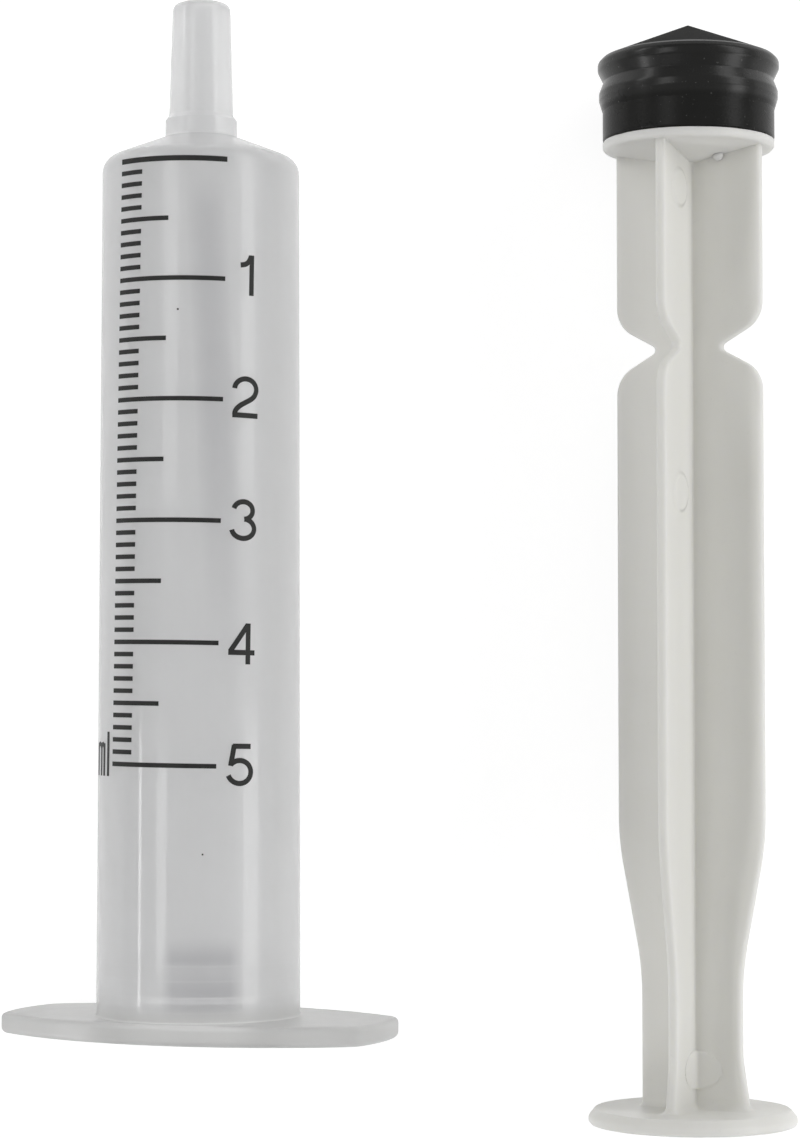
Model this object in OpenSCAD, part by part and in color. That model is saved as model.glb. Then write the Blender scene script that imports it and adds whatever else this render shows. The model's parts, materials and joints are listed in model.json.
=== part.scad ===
// A disposable syringe of 5 ml, taken apart: an empty barrel with a slip nozzle and finger flange,
// and beside it the plunger, a cross-ribbed rod with a rubber stopper snapped over its head.
// Both lie on z = 0 along +Y, nozzle and stopper forward, under the centre of their common box.

/* [Barrel] */
// Bore of the barrel
bore_d = 12.45; // [10:0.05:16]
// Wall of the barrel at its shoulder
wall_front = 0.6; // [0.5:0.05:1.2]
// Wall of the barrel at its flange
wall_rear = 0.77; // [0.6:0.01:1.5]
// Length from the flange's rear face to the corner of the shoulder
barrel_len = 60.25; // [45:0.05:90]
// Slope of the shoulder, in degrees from square to the axis
shoulder_deg = 22; // [10:1:35]
// Thickness of the shoulder along the axis
shoulder_wall = 1; // [0.6:0.05:2]
// Rounding of the shoulder's outer corner
shoulder_round = 1.2; // [0.2:0.1:2]
// Depth of the chamfer that leads the stopper into the mouth
mouth_chamfer = 0.3; // [0.1:0.05:0.5]
// Height of the ridges inside the mouth that keep the stopper in
ridge_h = 0.2; // [0.1:0.05:0.4]
// Width of each ridge
ridge_w = 1; // [0.6:0.1:1.6]
// Number of ridges
ridge_count = 2; // [1:1:3]
// Distance from one ridge to the next
ridge_pitch = 2.1; // [1.8:0.1:3]
// Distance from the flange's rear face to the first ridge
ridge_start = 2.6; // [2:0.1:5]

/* [Nozzle] */
// Diameter of the nozzle at its tip
nozzle_tip_d = 3.98; // [3.5:0.01:4.5]
// Length of the tapered nozzle
nozzle_len = 7.9; // [6:0.05:12]
// Diameter of the collar at the root of the nozzle
collar_d = 4.96; // [4.9:0.02:7]
// Length of the collar
collar_len = 1.5; // [0.6:0.1:4]
// Diameter of the passage through the nozzle
passage_d = 1.8; // [1:0.05:2.4]

/* [Finger flange] */
// Width across the two finger wings
flange_w = 27.7; // [22:0.1:36]
// Depth across the flange's long edges
flange_depth = 15.8; // [15:0.1:21]
// Radius of the long edges
flange_edge_r = 22.8; // [16:0.1:40]
// Thickness of the flange
flange_t = 1.4; // [1:0.05:2.5]
// Rounding of the flange's rim
flange_round = 0.4; // [0.1:0.05:0.45]
// Fillet between the flange and the barrel
flange_fillet = 0.5; // [0.2:0.1:1.5]

/* [Plunger rod] */
// Length from the thumb disc's rear face to the stopper's seat
rod_len = 68.4; // [55:0.05:100]
// Thickness of the four ribs
rib_t = 0.75; // [0.6:0.05:1.4]
// Clearance between the ribs and the bore
rib_clear = 0.82; // [0.2:0.02:1.2]
// Diameter over the ribs on the narrow shank
shank_d = 7.36; // [6:0.02:9]
// Length of the narrow shank in front of the thumb disc
shank_len = 9.5; // [6:0.1:16]
// Length over which the shank widens to the full ribs
widen_len = 8.9; // [5:0.1:14]
// Width of the flare at the foot of one rib
foot_w = 0.55; // [0.2:0.05:1]
// Height of the flare at the foot of one rib
foot_h = 3.6; // [1:0.1:4]
// Distance from the stopper's seat back to the snap-off notch
notch_back = 14.6; // [9:0.1:20]
// Diameter left over the ribs at the bottom of the notch
notch_d = 4.3; // [4:0.1:7.5]
// Slope of the notch's flanks, in degrees from square to the axis
notch_deg = 29; // [15:1:40]
// Rounding of the notch's outer corners
notch_round = 2.2; // [0.5:0.1:3]
// Rounding of the notch's bottom
notch_root = 0.35; // [0.1:0.05:0.6]
// Diameter of the ejector marks on the ribs
eject_d = 2.6; // [1.5:0.02:3.5]
// Height of the ejector marks above the ribs
eject_h = 0.12; // [0.05:0.01:0.25]

/* [Thumb disc] */
// Diameter of the thumb disc
thumb_d = 14.4; // [12:0.1:20]
// Thickness of the thumb disc
thumb_t = 1.1; // [0.8:0.05:2]
// Width of the bevel on the side of the ribs
thumb_bevel = 0.45; // [0.1:0.05:0.8]
// Depth of the grip rings on the rear face
grip_depth = 0.15; // [0.05:0.05:0.3]
// Width of each grip ring
grip_w = 0.5; // [0.3:0.1:0.8]
// Number of grip rings
grip_count = 3; // [1:1:3]

/* [Head] */
// Thickness of the pressure disc behind the stopper
press_t = 0.65; // [0.5:0.05:1.5]
// Clearance between the pressure disc and the bore
press_clear = 0.22; // [0.1:0.02:0.5]
// Distance from the pressure disc's rim to the flat cone behind it
hub_inset = 0.4; // [0.35:0.05:2.5]
// Height of the cone at its middle
hub_len = 0.9; // [0.5:0.1:3]
// Diameter of the neck inside the stopper
neck_d = 4.4; // [3:0.1:5.5]
// Length of the neck
neck_len = 1.7; // [1.2:0.1:2.4]
// Diameter of the button that the stopper snaps over
button_d = 7.4; // [6:0.1:8]
// Thickness of the button's rim
button_rim = 0.9; // [0.6:0.1:1.2]
// Length of the button's conical nose
button_nose = 1.3; // [0.8:0.1:1.8]

/* [Stopper] */
// Squeeze of the front sealing rib beyond the bore's radius
front_squeeze = 0.115; // [0.05:0.005:0.25]
// Squeeze of the rear sealing rib beyond the bore's radius
rear_squeeze = 0.025; // [0.01:0.005:0.25]
// Clearance between the stopper's skirt and the bore
skirt_clear = 0.225; // [0.1:0.005:0.4]
// Length of the plain skirt
skirt_len = 2.1; // [1:0.1:4]
// Distance from one sealing rib to the next
seal_pitch = 2.1; // [1.6:0.1:3]
// Length of the conical nose
nose_len = 2.4; // [1.5:0.1:4]
// Clearance between the stopper's pocket and the rod's head
pocket_clear = 0.2; // [0.1:0.05:0.4]

/* [Layout] */
// Gap between the flange and the thumb disc, side by side
lay_gap = 13.1; // [2:0.05:40]
// Distance by which the thumb disc lies behind the flange
lay_back = 6.3; // [0:0.05:40]
// Roll of the barrel about its axis, in degrees
barrel_roll = -21; // [-45:1:45]
// Roll of the rod about its axis, in degrees
rod_roll = -27; // [-90:1:90]

/* [Hidden] */
$fn = 96;
arc_steps = 6;
over = 1;

bore_r = bore_d / 2;
front_r = bore_r + wall_front;
rear_r = bore_r + wall_rear;
shoulder_slope = tan(shoulder_deg);
shoulder_len = shoulder_slope * (front_r - collar_d / 2);
collar_start = barrel_len + shoulder_len;
collar_end = collar_start + collar_len;
nozzle_tip = collar_end + nozzle_len;

// A slip nozzle widens by 6 % of its length
nozzle_root_d = nozzle_tip_d + 0.06 * nozzle_len;
collar_chamfer = 0.3;
nozzle_round = 0.35;
passage_r = passage_d / 2;
passage_start = collar_start - shoulder_wall + shoulder_slope * (collar_d - passage_d) / 2;
bore_end = passage_start - shoulder_slope * (bore_r - passage_r);
mouth_len = 1.2;

rib_r = bore_r - rib_clear;
shank_r = shank_d / 2;
rib_end = rod_len - press_t;
widen_start = thumb_t + shank_len;
widen_round = 20;
notch_at = rod_len - notch_back;
notch_half = tan(notch_deg) * (rib_r - notch_d / 2);
press_r = bore_r - press_clear;
press_round = 0.3;
hub_r = press_r - hub_inset;
thumb_r = thumb_d / 2;
thumb_edge = 0.35;
neck_r = neck_d / 2;
button_r = button_d / 2;
button_tip_r = 2;
button_round = 0.3;

// One ejector mark lies in the corner between two ribs above the thumb disc, the others on one rib's face
corner_mark_at = thumb_t + 2.7;
face_marks_at = [rod_len - 24.8, rod_len - 3.65];

// The stopper's outline, from its seat forward
seat_clear = 0.05;
skirt_r = bore_r - skirt_clear;
groove_r = skirt_r - 0.06;
seal_land = 0.5;
seal_round = 0.4;
groove_round = 0.12;
rear_seal_at = skirt_len + seal_pitch / 2;
front_seal_at = rear_seal_at + seal_pitch;
nose_start = front_seal_at + seal_land / 2 + 0.35;

// The flange's wings: radius, half of the angle that each end spans, and the slope of the long edge where it ends
flange_off = flange_edge_r - flange_depth / 2;
wing_r = min(flange_w / 2, sqrt(flange_edge_r ^ 2 - flange_off ^ 2));
wing_half = asin((flange_edge_r ^ 2 - flange_off ^ 2 - wing_r ^ 2) / (2 * wing_r * flange_off));
edge_deg = atan2(wing_r * cos(wing_half), flange_off + wing_r * sin(wing_half));
flange_reach = wing_r * cos(max(0, abs(barrel_roll) - wing_half));

// The barrel rests on a long edge of its flange or on that edge's end, and the plunger on its thumb disc
barrel_x = -(lay_gap + thumb_d) / 2;
plunger_x = flange_reach + lay_gap / 2;
barrel_z = abs(barrel_roll) < edge_deg
    ? flange_edge_r - flange_off * cos(barrel_roll)
    : wing_r * sin(wing_half + abs(barrel_roll));
plunger_z = thumb_r;
lie_len = lay_back + nozzle_tip;
barrel_y = lay_back - lie_len / 2;
plunger_y = barrel_y - lay_back;

function unit(v) = v / norm(v);
function flat(p) = [p[0], p[1]];

// Points that round the corner b = [x, y, radius] between a and c, within half of each side
function corner(a, b, c) =
    let (
        to_a = flat(a) - flat(b),
        to_c = flat(c) - flat(b),
        half = acos(unit(to_a) * unit(to_c)) / 2,
        radius = min(b[2], 0.49 * tan(half) * min(norm(to_a), norm(to_c)))
    )
    radius <= 0 ? [flat(b)] :
    let (
        reach = radius / tan(half),
        centre = flat(b) + unit(unit(to_a) + unit(to_c)) * radius / sin(half),
        first = flat(b) + unit(to_a) * reach - centre,
        last = flat(b) + unit(to_c) * reach - centre,
        start = atan2(first[1], first[0]),
        turn = (atan2(last[1], last[0]) - start + 540) % 360 - 180
    )
    [for (i = [0 : arc_steps]) centre + radius * [cos(start + turn * i / arc_steps), sin(start + turn * i / arc_steps)]];

// A closed outline of corners [x, y, radius]
function outline(c) = [
    for (i = [0 : len(c) - 1])
        each corner(c[(i + len(c) - 1) % len(c)], c[i], c[(i + 1) % len(c)])
];

// A body of revolution about +Z
module turned(c) {
    rotate_extrude() polygon(outline(c));
}

// Lays a piece that was made along +Z down along +Y
module laid(x, y, z, roll) {
    translate([x, y, z]) rotate([-90, 0, 0]) rotate([0, 0, roll]) children();
}

// A disc with a rounded rim
module rim_disc(r) {
    turned([[0, 0, 0], [r, 0, flange_round], [r, flange_t, flange_round], [0, flange_t, 0]]);
}

// Two long arcs and two round ends
module flange() {
    intersection() {
        rim_disc(flange_w / 2);
        translate([0, flange_off, 0]) rim_disc(flange_edge_r);
        translate([0, -flange_off, 0]) rim_disc(flange_edge_r);
    }
}

module barrel_outside() {
    turned([
        [0, 0, 0],
        [rear_r, 0, 0],
        [rear_r, flange_t / 2, 0],
        [rear_r + flange_fillet, flange_t / 2, 0],
        [rear_r + flange_fillet, flange_t, 0],
        [rear_r, flange_t + flange_fillet, flange_fillet],
        [front_r, barrel_len, shoulder_round],
        [collar_d / 2, collar_start, 0],
        [collar_d / 2, collar_end - collar_chamfer, 0],
        [nozzle_root_d / 2, collar_end, 0],
        [nozzle_tip_d / 2, nozzle_tip, nozzle_round],
        [0, nozzle_tip, 0]
    ]);
}

module barrel_inside() {
    ridges = [for (i = [0 : ridge_count - 1]) let (y = ridge_start + i * ridge_pitch) each [
        [bore_r, y - ridge_w / 2, ridge_h],
        [bore_r - ridge_h, y, ridge_h],
        [bore_r, y + ridge_w / 2, ridge_h]
    ]];
    turned(concat(
        [
            [0, -over, 0],
            [bore_r + mouth_chamfer, -over, 0],
            [bore_r + mouth_chamfer, 0, 0],
            [bore_r, mouth_len, 0]
        ],
        ridges,
        [
            [bore_r, bore_end, 0],
            [passage_r, passage_start, 0],
            [passage_r, nozzle_tip + over, 0],
            [0, nozzle_tip + over, 0]
        ]
    ));
}

module barrel() {
    color([0.76, 0.77, 0.77, 0.6])
    laid(barrel_x, barrel_y, barrel_z, barrel_roll)
    difference() {
        union() {
            barrel_outside();
            flange();
        }
        barrel_inside();
    }
}

// One side of a rib plate, upwards: foot, narrow shank, widening, full rib and notch
function rib_side(foot) = concat(
    [
        [shank_r + foot, thumb_t / 2, 0]
    ],
    foot > 0 ? [
        [shank_r + foot, thumb_t, 0],
        [shank_r, thumb_t + foot_h, 2 * foot_h]
    ] : [],
    [
        [shank_r, widen_start, widen_round],
        [rib_r, widen_start + widen_len, widen_round],
        [rib_r, notch_at - notch_half, notch_round],
        [notch_d / 2, notch_at, notch_root],
        [rib_r, notch_at + notch_half, notch_round],
        [rib_r, rib_end + press_t / 2, 0]
    ]
);

function mirrored(c) = [for (i = [len(c) - 1 : -1 : 0]) [-c[i][0], c[i][1], c[i][2]]];

// A plate of two opposite ribs, with its own foot on each side
module rib_plate(t, foot) {
    rotate([90, 0, 0])
    translate([0, 0, -t / 2])
    linear_extrude(t)
    polygon(outline(concat(rib_side(foot), mirrored(rib_side(0)))));
}

// Two crossed plates make the four ribs
module crossed(t, foot) {
    rib_plate(t, foot);
    rotate([0, 0, 90]) rib_plate(t, 0);
}

// Round marks where the mould's pins pushed the rod out
module ejector_marks() {
    intersection() {
        crossed(rib_t + 2 * eject_h, 0);
        translate([0, 0, corner_mark_at])
        rotate([0, 0, 45])
        rotate([90, 0, 0])
        cylinder(d = eject_d, h = shank_r);
    }
    for (at = face_marks_at)
        translate([0, -rib_r / 2, at])
        rotate([0, 90, 0])
        cylinder(d = eject_d, h = rib_t / 2 + eject_h);
}

module thumb_disc() {
    ring_step = thumb_r / (grip_count + 2);
    difference() {
        turned([
            [0, 0, 0],
            [thumb_r, 0, thumb_edge],
            [thumb_r, thumb_t / 2, thumb_edge],
            [thumb_r - thumb_bevel, thumb_t, 0],
            [0, thumb_t, 0]
        ]);
        for (i = [1 : grip_count])
            rotate_extrude()
            translate([(i + 1) * ring_step - grip_w / 2, -over])
            square([grip_w, over + grip_depth]);
    }
}

// Flat cone, pressure disc, neck and the button inside the stopper
module head() {
    turned([
        [0, rib_end - hub_len, 0],
        [rib_t, rib_end - hub_len, 0],
        [hub_r, rib_end, 0],
        [press_r, rib_end, press_round],
        [press_r, rod_len - seat_clear, 0],
        [neck_r, rod_len - seat_clear, 0],
        [neck_r, rod_len + neck_len, 0],
        [button_r, rod_len + neck_len, button_round],
        [button_r, rod_len + neck_len + button_rim, button_round],
        [button_tip_r, rod_len + neck_len + button_rim + button_nose, 0],
        [0, rod_len + neck_len + button_rim + button_nose, 0]
    ]);
}

module plunger_rod() {
    color([0.86, 0.86, 0.84])
    laid(plunger_x, plunger_y, plunger_z, rod_roll)
    union() {
        thumb_disc();
        crossed(rib_t, foot_w);
        ejector_marks();
        head();
    }
}

// Skirt, two sealing ribs with a groove between them, and a conical nose
module stopper_outside() {
    turned([
        [0, 0, 0],
        [skirt_r, 0, 0],
        [skirt_r, skirt_len, groove_round],
        [bore_r + rear_squeeze, rear_seal_at - seal_land / 2, seal_round],
        [bore_r + rear_squeeze, rear_seal_at + seal_land / 2, seal_round],
        [groove_r, (rear_seal_at + front_seal_at) / 2, groove_round],
        [bore_r + front_squeeze, front_seal_at - seal_land / 2, seal_round],
        [bore_r + front_squeeze, front_seal_at + seal_land / 2, seal_round],
        [skirt_r, nose_start, seal_round],
        [0, nose_start + nose_len, 0]
    ]);
}

// The pocket follows the rod's head with clearance all round
module stopper_inside() {
    pocket_start = neck_len - pocket_clear;
    pocket_end = neck_len + button_rim + pocket_clear;
    turned([
        [0, -over, 0],
        [neck_r + pocket_clear, -over, 0],
        [neck_r + pocket_clear, pocket_start, 0],
        [button_r + pocket_clear, pocket_start, 0],
        [button_r + pocket_clear, pocket_end, 0],
        [button_tip_r + pocket_clear, pocket_end + button_nose, 0],
        [0, pocket_end + button_nose, 0]
    ]);
}

module stopper() {
    color([0.14, 0.14, 0.15])
    laid(plunger_x, plunger_y + rod_len, plunger_z, rod_roll)
    difference() {
        stopper_outside();
        stopper_inside();
    }
}

barrel();
plunger_rod();
stopper();
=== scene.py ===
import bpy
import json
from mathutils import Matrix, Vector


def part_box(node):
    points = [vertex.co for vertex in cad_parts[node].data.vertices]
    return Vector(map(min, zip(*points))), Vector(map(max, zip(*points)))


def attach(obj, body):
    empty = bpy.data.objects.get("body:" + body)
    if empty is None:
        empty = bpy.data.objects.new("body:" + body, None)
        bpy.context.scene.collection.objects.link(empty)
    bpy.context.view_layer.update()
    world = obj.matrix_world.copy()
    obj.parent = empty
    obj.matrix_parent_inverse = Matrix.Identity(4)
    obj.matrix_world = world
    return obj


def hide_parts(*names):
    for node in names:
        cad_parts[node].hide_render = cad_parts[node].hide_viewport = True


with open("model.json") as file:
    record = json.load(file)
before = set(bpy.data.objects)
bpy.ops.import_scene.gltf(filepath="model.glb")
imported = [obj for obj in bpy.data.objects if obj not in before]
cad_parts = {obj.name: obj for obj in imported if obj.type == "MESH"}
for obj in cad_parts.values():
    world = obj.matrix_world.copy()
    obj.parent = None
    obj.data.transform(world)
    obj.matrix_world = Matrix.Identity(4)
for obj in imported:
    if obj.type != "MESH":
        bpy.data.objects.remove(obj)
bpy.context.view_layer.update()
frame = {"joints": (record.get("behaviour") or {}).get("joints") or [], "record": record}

import json
import math

import bpy
import numpy as np
from mathutils import Vector

# Sizes below are in millimetres and become metres where a mesh is made
mm = 0.001
crispAngle = math.radians(35)      # faces that meet at more than this keep a sharp edge
mounts = {m["name"]: m for m in frame["record"]["mounts"]}
joints = {j["name"]: j for j in frame["joints"]}
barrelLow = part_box("barrel")[0]
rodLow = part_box("plunger_rod")[0]
stopperLow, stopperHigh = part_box("stopper")

# An axis is the x and z of its line; both lines run along +Y
barrelAxis = np.array(mounts["nozzle_passage"]["pos_m"])[[0, 2]] / mm
rodAxis = np.array(joints["rod_turn"]["pos_m"])[[0, 2]] / mm
flangeRear = barrelLow.y / mm
thumbRear = rodLow.y / mm
stopperRear = stopperLow.y / mm
print("frame loaded: barrel axis", barrelAxis, "rod axis", rodAxis)


def roundedPath(corners, steps=7):
    # A line through corners (x, y, radius); each corner becomes the arc that touches both of its sides,
    # with its centre on their bisector, and an arc takes at most just under half of either side
    sideShare = 0.49
    nearlyStraight = 1.5705
    points = [np.array(corners[0][:2], float)[None]]
    for before, here, after in zip(corners[:-2], corners[1:-1], corners[2:]):
        corner = np.array(here[:2], float)
        back, on = np.array(before[:2]) - corner, np.array(after[:2]) - corner
        backLen, onLen = np.linalg.norm(back), np.linalg.norm(on)
        back, on = back / backLen, on / onLen
        half = math.acos(np.clip(back @ on, -1, 1)) / 2
        radius = min(here[2], sideShare * math.tan(half) * min(backLen, onLen))
        if radius < 1e-6 or half > nearlyStraight:
            points.append(corner[None])
            continue
        centre = corner + (back + on) / np.linalg.norm(back + on) * radius / math.sin(half)
        first = corner + back * radius / math.tan(half) - centre
        last = corner + on * radius / math.tan(half) - centre
        start = math.atan2(first[1], first[0])
        turn = (math.atan2(last[1], last[0]) - start + 3 * math.pi) % (2 * math.pi) - math.pi
        a = start + turn * np.linspace(0, 1, steps)
        points.append(centre + radius * np.stack([np.cos(a), np.sin(a)], 1))
    points.append(np.array(corners[-1][:2], float)[None])
    return np.concatenate(points)


def finer(path, step=4.0, margin=0.08):
    # Adds even points to the longer sides, a margin in from each end, so that flat sides are shaded flat
    side = np.diff(path, axis=0)
    length = np.linalg.norm(side, axis=1)
    added = np.where(length > 4 * margin, 2 + (length / step).astype(int), 0)
    i = np.repeat(np.arange(len(side)), added + 1)                     # which side a point is on
    k = np.arange(len(i)) - np.repeat(np.cumsum(added + 1) - added - 1, added + 1)
    inset = margin / np.maximum(length[i], margin)
    share = np.where(k == 0, 0, inset + (k - 1) / np.maximum(added[i] - 1, 1) * (1 - 2 * inset))
    return np.concatenate([path[i] + side[i] * share[:, None], path[-1:]])


def around(radius, along, angle, axis, rear):
    # Points at a radius and an angle about an axis; the angle runs from +Z towards +X
    return np.stack(np.broadcast_arrays(
        axis[0] + radius * np.sin(angle),
        rear + along,
        axis[1] + radius * np.cos(angle),
    ), -1)


def fullTurn(count):
    # Even angles once round, as one row
    return np.linspace(0, 2 * math.pi, count, endpoint=False)[None]


def skin(rows, loop=False):
    # A closed surface over a grid (n, m, 3) that runs round across m: along n it is a loop as well,
    # or each end closes in a fan; where the enclosed volume comes out negative, the faces are turned round
    n, m = rows.shape[:2]
    i = np.arange(n if loop else n - 1)[:, None]
    j = np.arange(m)[None]
    up, right = (i + 1) % n, (j + 1) % m
    quads = np.stack(np.broadcast_arrays(i * m + j, i * m + right, up * m + right, up * m + j), -1)
    quads = quads.reshape(-1, 4)
    points = rows.reshape(-1, 3)
    fans = np.zeros((0, 3), int)
    if not loop:
        ends = np.arange(m)[::-1], np.arange(m) + (n - 1) * m
        fans = np.concatenate([np.stack([ring, np.roll(ring, -1), np.full(m, n * m + pole)], 1)
                               for pole, ring in enumerate(ends)])
        points = np.concatenate([points, rows[[0, -1]].mean(1)])
    a, b, c = points[np.concatenate([quads[:, :3], quads[:, [0, 2, 3]], fans])].swapaxes(0, 1)
    if (a * np.cross(b, c)).sum() < 0:
        quads, fans = quads[:, ::-1], fans[:, ::-1]
    return points, quads, fans


def makePiece(name, skins, material, body, node=None):
    # Joins closed surfaces into one mesh that rides on a body
    mesh = bpy.data.meshes.new(name)
    faces, offset = [], 0
    for points, quads, fans in skins:
        faces += (quads + offset).tolist() + (fans + offset).tolist()
        offset += len(points)
    mesh.from_pydata((np.concatenate([points for points, _, _ in skins]) * mm).tolist(), [], faces)
    mesh.shade_smooth()
    mesh.set_sharp_from_angle(angle=crispAngle)
    mesh.materials.append(material)
    piece = bpy.data.objects.new(name, mesh)
    bpy.context.scene.collection.objects.link(piece)
    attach(piece, body)
    if node:
        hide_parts(node)
    print(name, "has", len(mesh.polygons), "faces")


class Value:
    # One shader value; arithmetic on it adds Math nodes
    def __init__(self, finish, socket):
        self.finish, self.socket = finish, socket

    def calc(self, operation, *values):
        # Adds one Math node
        return self.finish.node("ShaderNodeMath", {"operation": operation}, dict(enumerate(values)))

    def __add__(self, other):
        return self.calc("ADD", self, other)

    def __radd__(self, other):
        return self.calc("ADD", other, self)

    def __sub__(self, other):
        return self.calc("SUBTRACT", self, other)

    def __rsub__(self, other):
        return self.calc("SUBTRACT", other, self)

    def __mul__(self, other):
        return self.calc("MULTIPLY", self, other)

    def __rmul__(self, other):
        return self.calc("MULTIPLY", other, self)

    def __truediv__(self, other):
        return self.calc("DIVIDE", self, other)

    def __pow__(self, other):
        return self.calc("POWER", self, other)

    def wave(self):
        return self.calc("COSINE", self)

    def size(self):
        return self.calc("ABSOLUTE", self)

    def clamped(self):
        return self.finish.node("ShaderNodeClamp", {}, {0: self})

    def rising(self, start, span):
        # 0 up to the start, 1 from a span further on
        return ((self - start) / span).clamped()

    def falling(self, end, span):
        # 1 until a span before the end, 0 past it
        return ((end - self) / span).clamped()

    def about(self, middle, swing):
        # A pattern from 0 to 1 becomes a swing about a middle value
        return (self * swing + (middle - swing / 2)).clamped()


class Finish:
    # A material with one Principled shader, whose patterns lie in object coordinates
    def __init__(self, name):
        self.material = bpy.data.materials.new(name)
        self.material.use_nodes = True
        self.nodes, self.links = self.material.node_tree.nodes, self.material.node_tree.links
        self.shader = self.nodes["Principled BSDF"]
        self.place = self.node("ShaderNodeTexCoord", {}, {}, "Object")

    def node(self, kind, settings, sockets, output=0):
        # Adds a node of a kind: its settings first, then the values or links of its sockets
        made = self.nodes.new(kind)
        for key, value in settings.items():
            setattr(made, key, value)
        for key, value in sockets.items():
            self.put(made.inputs[key], value)
        return Value(self, made.outputs[output])

    def put(self, socket, value):
        # Links a shader value to a socket, or sets a plain one
        if isinstance(value, Value):
            self.links.new(value.socket, socket)
        else:
            socket.default_value = value

    def rays(self, *kinds):
        # 1 for the kinds of ray that are named, 0 for others
        seen = [self.node("ShaderNodeLightPath", {}, {}, f"Is {kind} Ray") for kind in kinds]
        return sum(seen).clamped()

    def set(self, **sockets):
        # Fills the shader's own sockets, with _ for each space in a name
        for key, value in sockets.items():
            self.put(self.shader.inputs[key.replace("_", " ")], value)

    def coordinate(self, i):
        # x, y or z in millimetres
        return self.node("ShaderNodeSeparateXYZ", {}, {0: self.place}, i) / mm

    def stretched(self, x, y, z):
        # Coordinates scaled along each axis, so that a pattern is drawn out where the scale is low
        return self.node("ShaderNodeMapping", {}, {"Vector": self.place, "Scale": (x, y, z)})

    def noise(self, scale, detail=3, rough=0.55, vector=None):
        # A pattern from 0 to 1, finer where the scale is high
        return self.node("ShaderNodeTexNoise", {}, {
            "Vector": vector or self.place, "Scale": scale, "Detail": detail, "Roughness": rough})

    def mixed(self, factor, first, second):
        # Goes from the first colour to the second as the factor rises
        sockets = {"Factor": factor, 6: first, 7: second}
        return self.node("ShaderNodeMix", {"data_type": "RGBA"}, sockets, 2)

    def bump(self, height, distance, strength):
        # Tilts the surface as if it stood out by a height from 0 to 1 times the distance, in metres
        sockets = {"Height": height, "Distance": distance, "Strength": strength}
        return self.node("ShaderNodeBump", {}, sockets)


barrelSizes = {
    "boreR": 6.225,
    "boreEndRound": 0.4,
    "frontR": 6.825,               # outer radius at the shoulder
    "rearR": 6.995,                # outer radius at the flange
    "shoulderAt": 60.25,
    "shoulderRound": 1.2,
    "shoulderSlope": math.tan(math.radians(22)),
    "shoulderWall": 1.0,
    "collarR": 2.48,
    "collarLen": 1.5,
    "collarFoot": 0.25,            # fillet on the shoulder
    "collarRound": 0.12,
    "collarBevel": 0.3,
    "nozzleLen": 7.899,
    "nozzleTipR": 1.99,
    "nozzleTipRound": 0.5,
    "nozzleRootR": 2.227,
    "nozzleRootRound": 0.2,
    "passageR": 0.9,
    "passageTipRound": 0.2,
    "passageEndRound": 0.3,
    "flangeEndR": 13.85,
    "flangeHalfDepth": 7.9,
    "flangeEdgeR": 22.8,
    "flangeCorner": 150,           # power that joins the long arcs to the ends: higher is sharper
    "flangeT": 1.4,
    "flangeRound": 0.4,
    "flangeFillet": 0.2,
    "faceMargin": 0.02,            # flat rim round that fillet
    "roll": math.radians(-21),
    "ridges": (2.6, 4.7),          # inside the mouth, from the rear face
    "ridgeH": 0.2,
    "ridgeHalfW": 0.5,
    "ridgeRound": 0.25,
    "mouthW": 0.3,                 # lead-in of the mouth
    "mouthLen": 1.2,
    "mouthRound": 0.4,
    "mouthEdge": 0.15,
    "mouthRim": 0.8,               # from the bore to where the flat rear face starts
    "sides": 320,
}

clearLook = {
    "milk": (0.886, 0.888, 0.892, 1),       # the plastic's own pale grey
    "haze": (0.936, 0.938, 0.94, 1),        # clearer flow marks
    "thick": (0.793, 0.793, 0.785, 1),      # where one looks along the flange, through much more plastic
    "deep": (0.58, 0.58, 0.60, 1),          # painted shade deep in the mouth, and a painted dark reflection along the middle
    "front": (0.94, 0.942, 0.945, 1),       # milkier where the wall is thick; also the colour of the painted highlight rings at the inner ridges
    "flow": {"scale": 900, "drawn": 0.05, "share": 0.6},
    "cloud": {"scale": 140, "share": 0.4},
    "grain": {"scale": 2600, "share": 0.4, "height": 0.00001, "strength": 0.5},
    # mouth and mouthRings place the painted shade in the mouth; middle places the painted dark reflection
    "mouth": {"side": 0.6, "half": 2.7, "edge": 0.8, "end": 7.2, "fade": 1.6, "share": 0.6},
    "mouthRings": {"at": 3.4, "rate": 2.5, "swing": 0.2},
    "middle": {"side": 0.75, "drift": 0.047, "driftEnd": 57, "half": 1.4,
               "start": 24, "rise": 16, "end": 59, "fade": 3, "share": 0.38},
    # Next: the painted highlight rings at the inner ridges' edges
    "ridgeHighlight": {"half": 0.12, "share": 0.35},
    "shoulder": {"start": 59.6, "rise": 1.2, "most": 1.3, "fadeFrom": 60, "fade": 8},
    "wall": {"start": 1.5, "rise": 1.0},    # where the flange's tone gives way to the wall's
    "opacity": 0.9,
    "opacitySwing": 0.08,
    "roughness": 0.38,                      # clouds what is seen through the wall
    "roughSwing": 0.1,
    "transmission": 0.6,
    "gloss": {"weight": 0.5, "start": 1.9, "rise": 0.8, "roughness": 0.07},
    "ior": 1.49,
    "specular": 0.1,
}


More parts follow.
